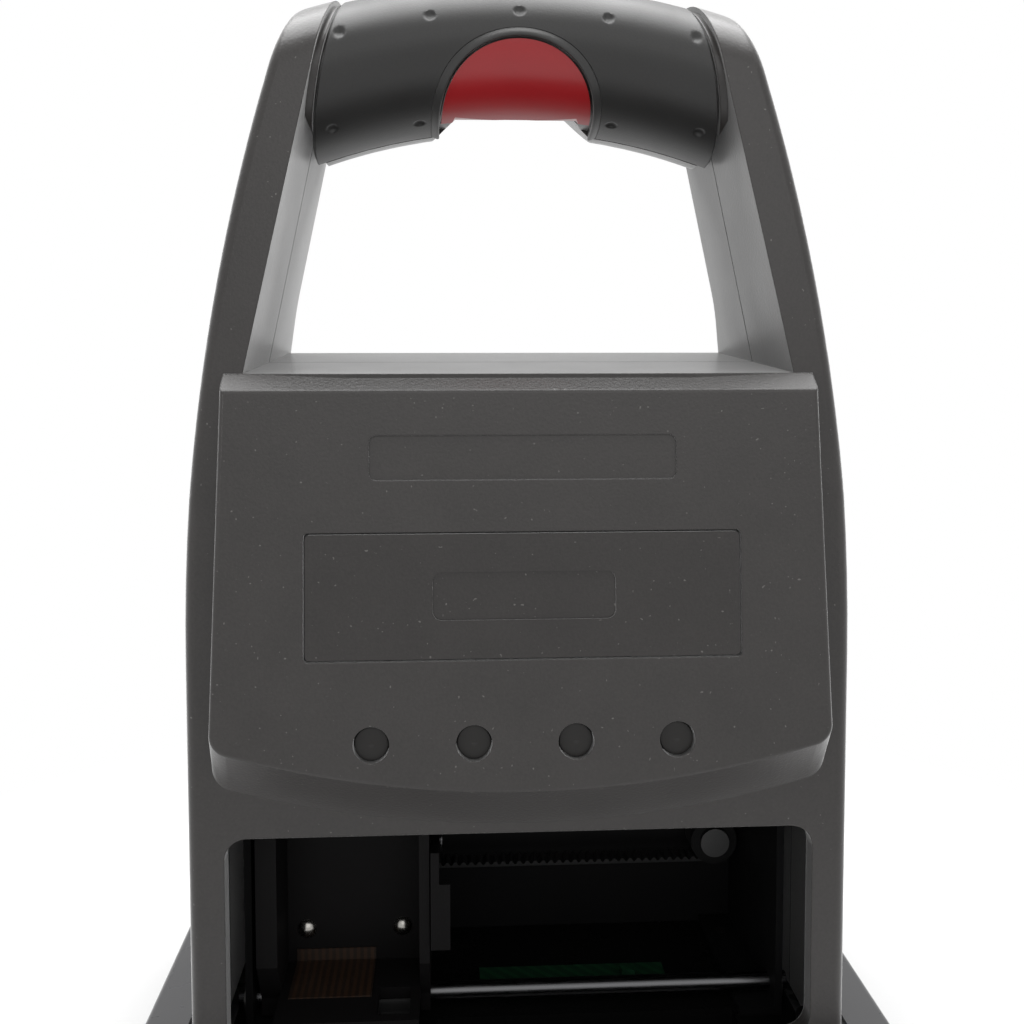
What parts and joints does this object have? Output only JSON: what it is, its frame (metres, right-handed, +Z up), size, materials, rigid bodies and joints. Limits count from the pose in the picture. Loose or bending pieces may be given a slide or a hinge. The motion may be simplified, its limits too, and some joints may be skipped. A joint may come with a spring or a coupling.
{
  "type": "handheld inkjet printer",
  "caption": "Handheld inkjet marking printer: stirrup handle with trigger grip, key console, and a wide window onto a belt-driven print carriage above a flanged base.",
  "frame": {"origin": "on the floor under the middle of the base plate", "axes": "+X to the right seen from the front, +Y to the back, +Z up"},
  "size_m": [0.166, 0.116, 0.2365],
  "materials": {
    "shell_plastic": "fine spark-grained dark grey",
    "grip_rubber": "soft matt, nearly black",
    "bezel_plastic": "satin black",
    "trigger_plastic": "dark red, half gloss",
    "key_plastic": "smooth grey",
    "base_plastic": "smooth dark grey",
    "seal_rubber": "black",
    "carriage_plastic": "moulded black",
    "steel_sheet": "zinc grey",
    "steel_bar": "ground bright",
    "screw_steel": "plated",
    "bush_brass": "plain",
    "board_green": "solder mask green",
    "flex_film": "amber film",
    "part_plastic": "black",
    "belt_rubber": "black",
    "strip_film": "clear film"
  },
  "bodies": {
    "casing": {"front_shell": "shell_plastic", "rear_shell": "shell_plastic", "cover_plate": "shell_plastic", "grip_pad": "grip_rubber", "trigger_bezel": "bezel_plastic", "base_plate": "base_plastic", "base_seal": "seal_rubber", "rubber_feet": "seal_rubber", "chassis_plate": "steel_sheet", "left_bracket": "steel_sheet", "right_bracket": "steel_sheet", "drive_motor": "steel_sheet", "rear_guide_rod": "steel_bar", "front_guide_rod": "steel_bar", "trigger_pin": "steel_bar", "idler_axle": "steel_bar", "rod_clips": "steel_bar", "housing_screws": "screw_steel", "base_screws": "screw_steel", "board_screws": "screw_steel", "motor_screws": "screw_steel", "panel_board": "board_green", "main_board": "board_green", "sensor_board": "board_green", "trigger_switch": "part_plastic", "key_switches": "part_plastic", "power_socket": "part_plastic", "interface_socket": "part_plastic", "battery_pack": "part_plastic", "timing_belt": "belt_rubber", "parking_cap": "belt_rubber", "encoder_strip": "strip_film"},
    "trigger": {"trigger": "trigger_plastic"},
    "key_1": {"key_1": "key_plastic"},
    "key_2": {"key_2": "key_plastic"},
    "key_3": {"key_3": "key_plastic"},
    "key_4": {"key_4": "key_plastic"},
    "carriage": {"carriage": "carriage_plastic", "carriage_bushes": "bush_brass", "belt_clamp": "carriage_plastic", "clamp_screws": "screw_steel", "contact_flex": "flex_film", "contact_screws": "screw_steel", "latch_pin": "steel_bar"},
    "latch_lever": {"latch_lever": "carriage_plastic"},
    "motor_pulley": {"motor_pulley": "part_plastic", "motor_shaft": "steel_bar"},
    "idler_pulley": {"idler_pulley": "part_plastic"},
    "battery_door": {"battery_door": "shell_plastic"}
  },
  "joints": [
    {"name": "trigger_pivot", "type": "hinge", "parent": "casing", "child": "trigger", "pos_m": [0, -0.024, 0.2225], "axis": [1, 0, 0], "range_deg": [0, 6], "stiffness_Nm_per_rad": 0.1, "springref_deg": -5.73},
    {"name": "key_1_press", "type": "slide", "parent": "casing", "child": "key_1", "axis": [0, 0.9962, -0.0872], "range_m": [0, 0.0008], "stiffness_N_per_m": 300, "springref_m": -0.001},
    {"name": "key_2_press", "type": "slide", "parent": "casing", "child": "key_2", "axis": [0, 0.9962, -0.0872], "range_m": [0, 0.0008], "stiffness_N_per_m": 300, "springref_m": -0.001},
    {"name": "key_3_press", "type": "slide", "parent": "casing", "child": "key_3", "axis": [0, 0.9962, -0.0872], "range_m": [0, 0.0008], "stiffness_N_per_m": 300, "springref_m": -0.001},
    {"name": "key_4_press", "type": "slide", "parent": "casing", "child": "key_4", "axis": [0, 0.9962, -0.0872], "range_m": [0, 0.0008], "stiffness_N_per_m": 300, "springref_m": -0.001},
    {"name": "carriage_slide", "type": "slide", "parent": "casing", "child": "carriage", "axis": [1, 0, 0], "range_m": [0, 0.0715]},
    {"name": "latch_swing", "type": "hinge", "parent": "carriage", "child": "latch_lever", "pos_m": [-0.0181, -0.014, 0.046], "axis": [-1, 0, 0], "range_deg": [0, 35]},
    {"name": "motor_pulley_spin", "type": "hinge", "parent": "casing", "child": "motor_pulley", "pos_m": [-0.05, 0.011, 0.034], "axis": [0, 1, 0], "range_deg": [0, 825]},
    {"name": "idler_pulley_spin", "type": "hinge", "parent": "casing", "child": "idler_pulley", "pos_m": [0.0515, 0.011, 0.034], "axis": [0, 1, 0], "range_deg": [0, 825]},
    {"name": "battery_door_lift", "type": "slide", "parent": "casing", "child": "battery_door", "axis": [0, 1, 0], "range_m": [0, 0.03]}
  ],
  "couplings": [
    {"joint": "motor_pulley_spin", "follows": "carriage_slide", "rad_per_m": 200},
    {"joint": "idler_pulley_spin", "follows": "carriage_slide", "rad_per_m": 200}
  ]
}
